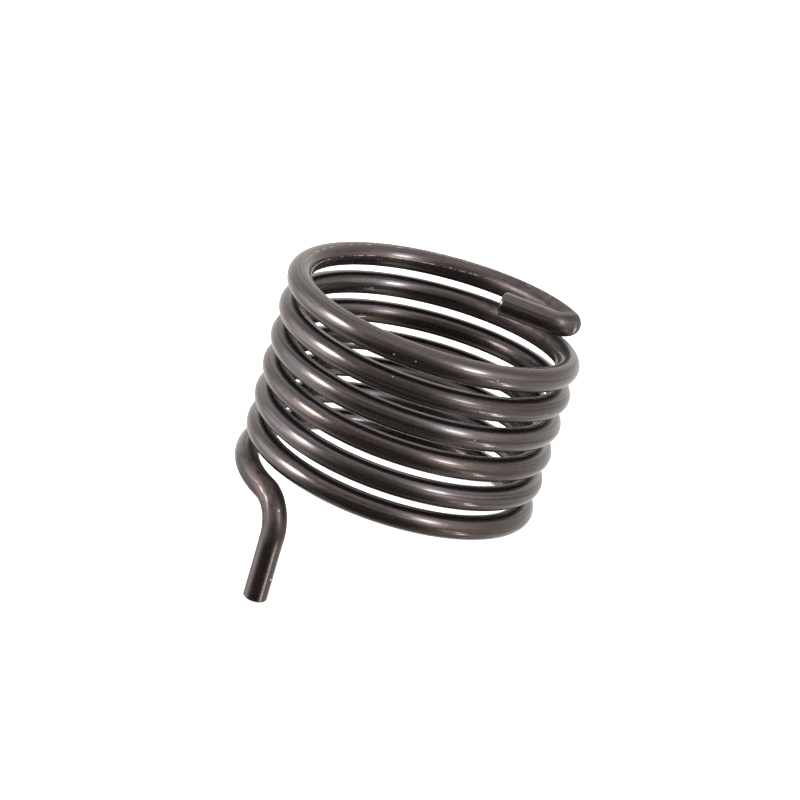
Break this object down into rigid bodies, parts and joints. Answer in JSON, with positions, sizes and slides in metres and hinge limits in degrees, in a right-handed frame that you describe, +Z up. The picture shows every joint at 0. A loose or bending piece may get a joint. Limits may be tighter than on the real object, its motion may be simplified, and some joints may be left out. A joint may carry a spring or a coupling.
{
  "type": "torsion spring",
  "caption": "Open-wound left-hand torsion spring of round steel wire, with a short hook folded in across the bore and a short leg turned along the axis.",
  "frame": {"origin": "on the coil's axis, half way along the turns of constant radius", "axes": "+Z up as the spring rests by itself, hook end up, on the tip of its leg and the far side of its last turn; the coil's axis leans 19.65 degrees from +Z towards +X, and the leg is on the -X side"},
  "size_m": [0.0537, 0.0402, 0.0372],
  "materials": {
    "wire": "satin, dark oil-tempered scale with fine drawing lines along the wire"
  },
  "bodies": {
    "root": {"spring": "wire"}
  },
  "joints": []
}
